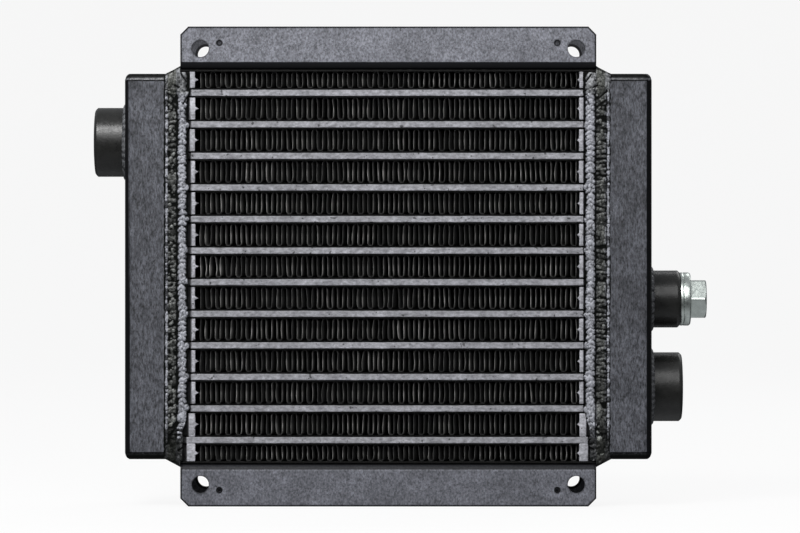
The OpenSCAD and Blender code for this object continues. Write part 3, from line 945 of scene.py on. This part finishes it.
def weld_face(end, seed):
    """One face of a seam, drawn as if at the right of the core."""
    lines = ENDS[end]
    rng = random.Random(seed)
    columns = 62
    reach_z = WALL_Z + FILLET
    z_line = np.arange(-reach_z, reach_z + 0.1, 0.3)
    inner = lines["inner"] + 0.35 * wobble(z_line, 3.0, seed + 0.1)
    inner += 2.4 * smooth_step((-74 - z_line) / 9)
    for bar_z in OIL_Z:
        off = (z_line - bar_z - rng.uniform(-0.8, 0.8)) / rng.uniform(1.2, 2.2)
        inner -= rng.uniform(0.1, 1.5) * np.exp(-off * off)
    inner -= 1.2 * smooth_step((z_line - 84) / 6)
    outer = lines["edge"] + 0.42 * wobble(z_line, 2.2, seed + 0.2)
    outer += 0.3 * wobble(z_line, 14, seed + 0.5)
    share = np.linspace(0, 1, columns)[:, None]
    S = inner + share * (outer - inner)
    Z = np.broadcast_to(z_line, S.shape).copy()
    seam = Seam(S, Z)
    bead = lines["bead"]
    bead_r = lines["bead_r"]
    ridge = lines["ridge"]
    ridge_end = lines["ridge_end"]

    # Second pass: short ridges across, from the bead to the toe, with painted shade in the gaps
    # between
    ladder = 0.95 if end == "right" else 0.45
    z = -reach_z
    while z < reach_z:
        for _ in range(3 if end == "left" else 1):
            size = rng.uniform(0.45, 1.1)
            seam.drop(
                rng.uniform(ridge, ridge_end), z + rng.uniform(-1, 1), size,
                size * rng.uniform(0.7, 1.2), rng.uniform(0.3, 0.8), rng.uniform(0.06, 0.6),
            )
        if rng.random() > ladder:
            z += rng.uniform(1.2, 2.4)
            continue
        merged = waver(z / 9, seed, 3.3) > 0.2
        wide = rng.uniform(0.6, 1.05) + (0.7 if merged else 0)
        slope = rng.uniform(-0.4, 0.3)
        rise = rng.uniform(0.3, 0.75)
        bright = rng.uniform(0.08, 0.36)
        for s in np.arange(ridge, ridge_end, 0.7):
            if rng.random() < 0.12:
                continue
            seam.drop(
                s + 0.4, z + slope * (s - ridge - 1.6), 0.95, wide,
                rise * rng.uniform(0.7, 1.15), bright * rng.uniform(0.5, 1.4),
            )
        z += rng.uniform(1.5, 2.6)

    # Toe: a thin ridge with a painted highlight, that wavers and breaks
    for z in along(reach_z, rng, 0.8, 1.5):
        s = lines["toe"] + 0.35 * waver(z / 5, seed, 8.1)
        bright = rng.uniform(0.5, 1.15) if rng.random() > 0.25 else 0.12
        seam.drop(
            s, z, rng.uniform(0.5, 0.95), rng.uniform(0.8, 1.6), rng.uniform(0.45, 0.9), bright
        )

    # First pass: proud overlapping scales
    for z in along(reach_z, rng, 2.1, 3.1):
        s = bead + rng.uniform(-0.25, 0.25) + 0.3 * waver(z / 16, seed, 5)
        if end == "right":
            s += 1.9 * float(smooth_step((-78 - z) / 10))
        lean = 0.5 * waver(z / 22, seed, 11) + 0.5
        seam.drop(
            s, z, bead_r * rng.uniform(0.9, 1.08), rng.uniform(1.35, 2.1),
            rng.uniform(1.0, 1.36), rng.uniform(0.5, 1.1), lean,
        )
        for _ in range(3):
            size = rng.uniform(0.35, 0.8)
            seam.drop(
                s + rng.uniform(-0.75, 0.75) * bead_r, z + rng.uniform(-1, 1), size,
                size * rng.uniform(0.8, 1.3), rng.uniform(0.8, 1.36), rng.uniform(0.6, 1.25),
            )

    # Small bridges from the bead to the oil bars
    for bar_z in OIL_Z:
        if rng.random() < 0.7:
            seam.drop(
                lines["inner"] + 0.5, bar_z + rng.uniform(-0.6, 0.6), 1.5,
                rng.uniform(1.1, 1.8), 0.7, rng.uniform(0.5, 0.9),
            )

    # The lower end is a hollow darkened with painted shade, with a few lumps with painted highlights
    # in it
    seam.tone *= 1 - 0.85 * smooth_step((-Z - 79) / 3)
    for s, z, wide, tall, rise, bright in LOW_LUMPS[end]:
        seam.drop(CORE_X + s, z, wide, tall, rise, bright)

    # Big drops at both ends, with painted shade at the lower one, and slots between them
    for corner in (-1, 1):
        for s, z, wide, tall, rise, bright in END_DROPS:
            seam.drop(
                CORE_X + s + rng.uniform(-0.5, 0.5), corner * (z + rng.uniform(-0.8, 0.8)),
                wide, tall, rise, bright * rng.uniform(0.8, 1.2) * (1.0 if corner > 0 else 0.15),
            )
    for first, second, radius in (
        ((ridge, 83.6), (ridge + 4.4, 87.0), 0.6),
        ((ridge - 0.6, 79.2), (ridge + 4.2, 82.8), 0.85),
        ((bead - 2.2, 92.4), (bead + 0.4, 96.0), 0.5),
        ((bead - 2.3, 84.4), (bead - 0.6, 81.2), 0.5),
        ((bead + 1.4, 89.6), (bead + 3.6, 90.4), 0.42),
        ((ridge, -81.0), (ridge + 2.8, -84.6), 0.6),
        ((bead - 1.6, -90.2), (bead + 1.8, -91.6), 0.5),
    ):
        seam.slot(first, second, radius)

    # The gap line beside the bead, darkened with painted shade, and uneven mottling over all of it
    line = np.abs(S - lines["gap"] - 0.25 * wobble(z_line, 5, seed + 0.9)) / 0.4
    upper = smooth_step((np.abs(Z) - 85) / 3)
    seam.fade(smooth_step(1.25 - line) * (1 - upper), 0.85, 0.95)
    mottle = np.array([
        [waver(s / 1.1, z / 1.1, seed) for s, z in zip(row_s, row_z)]
        for row_s, row_z in zip(S, Z)
    ])
    height = np.clip(seam.height * (1 + 0.22 * mottle), 0.02, 1.39)
    tone = np.clip(seam.tone * (1 + 1.1 * mottle), 0, 1.5)
    tone *= 1 + upper * (0.9 * wobble(z_line, 1.7, seed + 0.6) - 0.1)
    # Painted shade at the top and bottom ends of the seam, beside the tank
    tone *= 1 - 0.96 * smooth_step((np.abs(Z) - reach_z + 1.6) / 1.2) * (S > CORE_X - 1)
    tone = np.clip(tone, 0, 1.5)
    olive = smooth_step((S - ridge + 0.4) / 0.5) * smooth_step((ridge_end + 0.6 - S) / 0.8)
    olive = np.clip(0.85 * olive + 0.45 * upper, 0, 1)

    # Let the ends climb to the brackets beside the tank, and sink the rim all round
    top_line = TANK_Z + 4.0 * np.clip(1 - (S - CORE_X) / 7.5, 0, 1)
    top_line = np.where(S < CORE_X + 0.05, reach_z, top_line - 0.1)
    from_z = 90
    near_end = np.clip((np.abs(Z) - from_z) / (reach_z - from_z), 0, None)
    Z = np.where(near_end > 0, np.sign(Z) * (from_z + near_end * (top_line - from_z)), Z)
    Y = FRONT_Y - height
    sunk_y = FRONT_Y + 0.3
    Y[0] = FRONT_Y + VALLEY_DEPTH
    Y[-1] = sunk_y
    Y[:, 0] = sunk_y
    Y[:, -1] = sunk_y
    # The edge sunk into the valley is painted black as shade
    tone[0] = 0
    return Shape(np.stack((S, Y, Z), -1), grid_faces(*S.shape), tone=tone, olive=olive)


def end_fillet(seed):
    """The slanting weld between the tank end and the bracket, at the right-hand top."""
    rng = random.Random(seed)
    depth_line = np.arange(FRONT_Y, REAR_Y + 0.01, 0.45)
    depth_line[-1] = REAR_Y
    across = np.linspace(0, 1, 15)
    scales = []
    for i in range(25):
        scales.append((FRONT_Y + 1 + 2.5 * i + rng.uniform(-0.5, 0.5), rng.uniform(0.6, 1)))
    points = []
    tones = []
    for y in depth_line:
        near = min(scales, key=lambda drop: abs(drop[0] - y))
        ripple = 1 - min(1, abs(near[0] - y) / 1.5) ** 2
        end = min(1, (y - FRONT_Y) / 1.2, (REAR_Y - y) / 1.2)
        for share in across:
            x = CORE_X + FILLET_RUN * share
            z = TANK_Z + FILLET * (1 - share)
            sag = math.sin(math.pi * share) * (0.95 - 0.75 * ripple)
            sag += 0.15 * waver(x / 1.5, y / 1.5, seed)
            drop = max(0.0, sag) * (0.4 + 0.6 * end)
            points.append((x - 0.45 * drop, y, max(TANK_Z - 0.2, z - 0.9 * drop)))
            # Painted light: mostly dark as shade, a little lighter on the ripples
            tones.append((0.02 + 0.1 * ripple) * near[1])
    rows = len(depth_line)
    columns = len(across)
    shape = Shape(points, grid_faces(rows, columns), tone=tones, olive=0.6)
    # The two end pieces are painted dark as shade
    for y, first in ((FRONT_Y, 0), (REAR_Y, (rows - 1) * columns)):
        corner = [(CORE_X, y, TANK_Z - 0.2)]
        edge = points[first : first + columns]
        shape.add(corner + edge, [list(range(columns + 1))], tone=0.05, olive=0.6)
    return shape


for end, seed in (("right", 21), ("left", 41)):
    seam = weld_face(end, seed)
    seam.join(weld_face(end, seed + 1).mirrored(1, MID_Y))
    seam.join(end_fillet(seed + 2))
    seam.join(end_fillet(seed + 3).mirrored(2))
    if end == "left":
        seam = seam.mirrored(0)
    make_piece(f"seam_{end}", seam, WELD_PAINT, [f"weld_tank_{end}"], sharp_deg=80)


# ---- Corner welds round the tank ends ----


def cap_weld(seed, brightness):
    """A rounded corner bead round three sides of a tank end, on the right at the top."""
    corner_r = 4.0
    spacing = 0.6
    round_x = WALL_X - corner_r
    round_y = FRONT_Y + corner_r
    path = []
    for x in np.arange(0, WALL_X - CORE_X - corner_r, spacing):
        path.append((CORE_X + x, FRONT_Y, 0.0, -1.0))
    for step in range(9):
        angle = math.radians(-90 + step * 11.25)
        nx = math.cos(angle)
        ny = math.sin(angle)
        path.append((round_x + corner_r * nx, round_y + corner_r * ny, nx, ny))
    for y in np.arange(round_y + spacing, MID_Y, spacing):
        path.append((WALL_X, y, 1.0, 0.0))
    path += [(x, 2 * MID_Y - y, nx, -ny) for x, y, nx, ny in reversed(path)]
    rise = TANK_Z - WALL_Z
    points = []
    tones = []
    for i, (x, y, nx, ny) in enumerate(path):
        ripple = waver(i * spacing / 1.3, seed, 0.4)
        slow = waver(i * spacing / 7, seed, 2.4)
        # Painted light: lighter on the ripples, and scaled by the brightness given for each corner
        light = (0.26 + 0.2 * ripple + 0.06 * slow) * brightness
        for step in range(9):
            angle = math.pi / 2 * step / 8
            full = 1 - 0.06 * (1 + ripple) * math.sin(2 * angle) - 0.05 * (1 + slow)
            inset = CAP_STEP * (1 - math.cos(angle) * (full if step else 1))
            z = WALL_Z + rise * math.sin(angle) * (full if step < 8 else 1)
            points.append((x - nx * inset, y - ny * inset, z))
            # Painted shade on the bead above its lower part
            low_part = float(smooth_step((WALL_Z + 1.2 - z) / 0.7))
            tones.append(light * (0.04 + 0.96 * low_part))
        points.append((x - nx * CAP_STEP, y - ny * CAP_STEP, WALL_Z))
        tones.append(0.1)
    return tube(len(path), 10, points, tone=tones, olive=0.25)


corner_welds = Shape()
for left in (False, True):
    for bottom in (False, True):
        # The lower beads get far less painted light than the upper ones
        bead = cap_weld(60 + 2 * left + bottom, 0.12 if bottom else 0.9)
        if left:
            bead = bead.mirrored(0)
        if bottom:
            bead = bead.mirrored(2)
        corner_welds.join(bead)
make_piece("corner_welds", corner_welds, WELD_PAINT, ["weld_caps"], sharp_deg=60)


# ---- Turned parts ----


def round_size(node):
    """The middle height and the radius of a round part."""
    low, high = box_mm(node)
    return (low.z + high.z) / 2, (high.z - low.z) / 2


def turned(rings, centre_z, steps=96, closed=True, side=1):
    """A shape turned about an axis along X. A ring is (x, radius), and radius may be a
    function of the angle."""
    angles = np.arange(steps) * TURN / steps
    points = []
    for x, radius in rings:
        r = np.array([radius(a) if callable(radius) else radius for a in angles])
        place = (np.full(steps, side * x), MID_Y + r * np.cos(angles), centre_z + r * np.sin(angles))
        points.append(np.stack(place, 1))
    faces = grid_faces(len(rings), steps, close_rows=closed, close_columns=True)
    return Shape(np.concatenate(points), faces)


def thread_rings(x0, x1, base_r, depth, pitch):
    """Rings of a helical thread from x0 to x1 that rises from base_r by depth."""
    runout = 1.5
    count = int(abs(x1 - x0) / pitch * 8)
    rings = []
    for i in range(count + 1):
        x = x0 + (x1 - x0) * i / count
        fade = min(1.0, abs(x - x0) / runout, abs(x1 - x) / runout)

        def radius(angle, x=x, fade=fade):
            turn = (x / pitch + angle / TURN) % 1
            tooth = min(1.0, max(0.0, 2.6 * (0.5 - abs(turn - 0.5)) - 0.15))
            return base_r + depth * fade * tooth

        rings.append((x, radius))
    return rings


def boss(node, name, side, spigot_r, thread_r, thread_depth, pitch, mouth_step):
    """A boss: a spigot in the tank wall, a chamfered barrel and a threaded bore."""
    low, high = box_mm(node)
    centre_z, outer_r = round_size(node)
    inner_x = WALL_X - TANK_WALL
    end_x = max(abs(low.x), abs(high.x))
    chamfer = 1.2
    mouth_r = thread_r + mouth_step
    rings = [(inner_x, thread_r + 0.4), (inner_x, spigot_r), (WALL_X, spigot_r), (WALL_X, outer_r)]
    for share in np.linspace(0.1, 0.94, 8):
        rings.append((WALL_X + share * (end_x - chamfer - WALL_X), outer_r - 0.02))
    rings += [
        (end_x - chamfer - 0.25, outer_r), (end_x - chamfer + 0.12, outer_r - 0.18),
        (end_x - 0.2, outer_r - chamfer + 0.12), (end_x, outer_r - chamfer - 0.25),
        (end_x, mouth_r + 0.2), (end_x - 0.1, mouth_r),
    ]
    bore_x = end_x - (mouth_r - thread_r) - 0.1
    rings += thread_rings(bore_x, inner_x + 0.4, thread_r, thread_depth, pitch)
    shape = turned(rings, centre_z, side=side)
    make_piece(name, shape, BOSS_PAINT, [node], sharp_deg=32)


boss("inlet_boss", "port_left", -1, 15.0, 12.06, 1.1, 1.814, 1.4)
boss("outlet_boss", "port_right", 1, 15.0, 12.06, 1.1, 1.814, 1.4)
boss("sensor_boss", "port_sensor", 1, 12.5, 11.0, 0.5, 1.5, 0.6)


def boss_bead(centre_z, boss_r, side, seed):
    """The fillet weld round a boss: overlapping drops that follow the ring."""
    steps = 160
    leg = 2.5
    rng = random.Random(seed)
    count = int(TURN * boss_r / 2.8)
    marks = [(i + rng.uniform(-0.2, 0.2)) * steps / count for i in range(count)]
    points = []
    tones = []
    for j in range(steps):
        far = min(min(abs(j - m), steps - abs(j - m)) for m in marks)
        ripple = 1 - min(1, far / (steps / count * 0.55)) ** 2
        reach = leg * (0.8 + 0.17 * ripple + 0.03 * waver(j / 9, seed, 0))
        ring = []
        for k in range(7):
            share = k / 6
            bulge = 0.22 * reach * math.sin(math.pi * share) * (0.5 + 0.5 * ripple)
            x = min(WALL_X + reach * share + bulge, WALL_X + leg)
            ring.append((x, min(boss_r + reach * (1 - share) + bulge, boss_r + leg)))
        ring.append((WALL_X - 0.1, boss_r - 0.1))
        angle = TURN * j / steps
        for x, r in ring:
            points.append((side * x, MID_Y + r * math.cos(angle), centre_z + r * math.sin(angle)))
        # Painted light: lighter on the ripple crests, dark at the inner edge
        tones += [0.1 + 0.28 * ripple] * 7 + [0.05]
    faces = grid_faces(steps, 8, close_rows=True, close_columns=True)
    return Shape(points, faces, tone=tones, olive=0.3)


boss_welds = Shape()
for node, side, seed in (("inlet_boss", -1, 81), ("outlet_boss", 1, 82), ("sensor_boss", 1, 83)):
    boss_welds.join(boss_bead(*round_size(node), side, seed))
make_piece("boss_welds", boss_welds, WELD_PAINT, ["weld_bosses"], sharp_deg=70)


def screw_plug():
    """The hexagon screw plug: threaded shank, chamfered collar and head."""
    low, high = box_mm("screw_plug")
    centre_z, collar_r = round_size("screw_plug")
    collar_x = box_mm("seal_ring")[1].x
    head_x = collar_x + 3.6
    end_x = high.x
    tip_x = low.x
    flats = 19.0
    head_chamfer = 1.4
    dish_x = end_x - 0.12
    thread = 0.7
    core_r = 10.95 - thread
    corner = flats / 2 / math.cos(math.pi / 6) - 0.12

    def hexagon(limit):
        """The head's radius by angle: flats up and down, a corner towards the front."""
        def radius(angle):
            within = angle % (math.pi / 3) - math.pi / 6
            return min(limit, flats / 2 / math.cos(within) * 0.999)

        return radius

    rings = [(tip_x, 0.0), (tip_x, 6.0), (tip_x, core_r + thread - 1.1), (tip_x + 0.9, core_r)]
    rings += thread_rings(tip_x + 1, collar_x - 1.2, core_r, thread, 1.5)
    rings += [
        (collar_x - 0.6, core_r), (collar_x, core_r), (collar_x, collar_r - 0.25),
        (collar_x + 0.12, collar_r - 0.05), (collar_x + 0.4, collar_r), (head_x - 1.0, collar_r),
        (head_x - 0.75, collar_r - 0.06), (head_x - 0.12, collar_r - 0.6),
        (head_x, collar_r - 0.9), (head_x, 11.4), (head_x + 0.02, hexagon(corner)),
    ]
    for step in range(1, 7):
        rings.append((head_x + (end_x - head_x - head_chamfer) * step / 6, hexagon(corner)))
    for step in range(1, 9):
        share = step / 8
        limit = corner + 0.25 - 2.0 * share ** 1.15
        rings.append((end_x - head_chamfer + head_chamfer * share, hexagon(limit)))
    rings += [(end_x, 7.6), (dish_x, 7.2), (dish_x, 3.0), (dish_x, 0.0)]
    return turned(rings, centre_z, steps=144, closed=False)


make_piece("hexagon_plug", screw_plug(), ZINC, ["screw_plug"], "plug", sharp_deg=24)

# The bonded washer stays just clear of the collar that presses on it
from_x = box_mm("seal_ring")[0].x
to_x = box_mm("seal_ring")[1].x - 0.03
seal_z, ring_r = round_size("seal_ring")
ring_inner = 12.0
lip_inner = 11.05
washer = turned([
    (from_x, ring_inner), (from_x, ring_r - 0.25), (from_x + 0.08, ring_r - 0.08),
    (from_x + 0.3, ring_r), (to_x - 0.3, ring_r), (to_x - 0.08, ring_r - 0.08),
    (to_x, ring_r - 0.25), (to_x, ring_inner),
], seal_z)
lip = turned([
    (from_x, ring_inner - 0.05), (to_x, ring_inner - 0.05), (to_x, ring_inner - 0.3),
    (to_x - 0.35, lip_inner + 0.25), (to_x - 0.7, lip_inner), (from_x + 0.7, lip_inner),
    (from_x + 0.35, lip_inner + 0.25), (from_x, ring_inner - 0.3),
], seal_z)
make_piece("seal_washer", washer, ZINC, ["seal_ring"], "seal", sharp_deg=40)
make_piece("seal_rubber", lip, RUBBER, ["seal_lip"], "seal", sharp_deg=60)

# The turbulators stay in view as CAD nodes, so they get their material here
for name in names_of("turbulator", OIL_ROWS):
    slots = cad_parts[name].data.materials
    slots.clear()
    slots.append(ALUMINIUM)


# ---- Stage, light and camera ----


def pale_surface(name, points, faces, tone):
    """A pale stage surface that keeps its glow off the object."""
    mesh = bpy.data.meshes.new(name)
    mesh.from_pydata(points, [], faces)
    mesh.polygons.foreach_set("use_smooth", [True] * len(mesh.polygons))
    paint = Paint(name)
    mesh.materials.append(paint.shade({
        "Base Color": paint.scale((tone, tone, tone), paint.mottle(400, 0.985, 1.0)),
        "Roughness": 0.9,
        "Specular IOR Level": 0.1,
        "Emission Color": (1, 1, 1, 1),
        "Emission Strength": 0.94 - 0.5 * tone,
    }))
    surface = put_in_scene(name, mesh)
    surface.visible_diffuse = False
    surface.visible_glossy = False
    surface.visible_shadow = False
    surface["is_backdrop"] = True


def stage_room():
    """A pale floor with a round pale wall far behind, the same from every side."""
    floor_z = cad_low.z - 0.0003
    floor_r = 3.0
    cove_r = 1.2
    wall_top = 5.0
    steps = 96
    line = [(0.0, 0.0), (floor_r, 0.0)]
    for step in range(1, 13):
        angle = math.pi / 2 * step / 12
        line.append((floor_r + cove_r * math.sin(angle), cove_r * (1 - math.cos(angle))))
    line.append((floor_r + cove_r, wall_top))
    angles = [TURN * i / steps for i in range(steps)]
    points = [
        (reach * math.cos(a), reach * math.sin(a), floor_z + rise)
        for reach, rise in line for a in angles
    ]
    pale_surface("floor", points, grid_faces(len(line), steps, close_columns=True), 0.08)


def soft_light(name, place, width, height, watts):
    """A rectangular lamp aimed at the middle of the cooler."""
    lamp = bpy.data.lights.new(name, "AREA")
    lamp.shape = "RECTANGLE"
    lamp.size = width
    lamp.size_y = height
    lamp.energy = watts
    holder = put_in_scene(name, lamp)
    holder.location = place
    holder.rotation_mode = "QUATERNION"
    aim = Vector((0.0, MID_Y * MM, 0.0))
    holder.rotation_quaternion = (aim - Vector(place)).to_track_quat("-Z", "Y")


stage_room()
soft_light("key", (-0.34, -0.74, 0.74), 0.45, 0.35, 6.4)
soft_light("front_box", (-0.2, -1.9, 1.25), 1.7, 1.6, 19)
soft_light("back_fill", (0.9, 1.3, 1.4), 1.2, 1.0, 7)

# The surroundings are brighter above than ahead, with some light coming up off the floor
world = bpy.data.worlds.new("studio")
world.use_nodes = True
sky = world.node_tree.nodes["Background"]
graph = Graph(world.node_tree)
direction = graph.add("TexCoord", {}, "Generated")
upward = graph.add("SeparateXYZ", {"Vector": direction}, "Z")
above = graph.spread(upward, -0.3, 0.6, 0.08, 0.32)
below = graph.spread(upward, -0.9, -0.45, 0.36, 0.06)
around = graph.add("Math", {0: above, 1: below}, "Value", operation="MAXIMUM")
graph.feed(sky.inputs["Strength"], around)
graph.feed(sky.inputs["Color"], (0.94, 0.965, 1, 1))
scene = bpy.context.scene
scene.world = world
scene.view_settings.view_transform = "Standard"

camera_data = bpy.data.cameras.new("camera")
camera_data.sensor_width = 36
camera_data.lens = 194.4
camera_data.clip_start = 0.05
camera_data.clip_end = 30
camera = put_in_scene("camera", camera_data)
# 2.16 m in front of the brackets, level, and on the middle of the overall width
camera.location = ((cad_low.x + cad_high.x) / 2 - 0.0004, cad_low.y - 2.16, 0.0)
camera.rotation_euler = (math.pi / 2, 0, 0)
scene.camera = camera

low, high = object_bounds()
{"cad": [list(cad_low), list(cad_high)], "visual": [list(low), list(high)]}
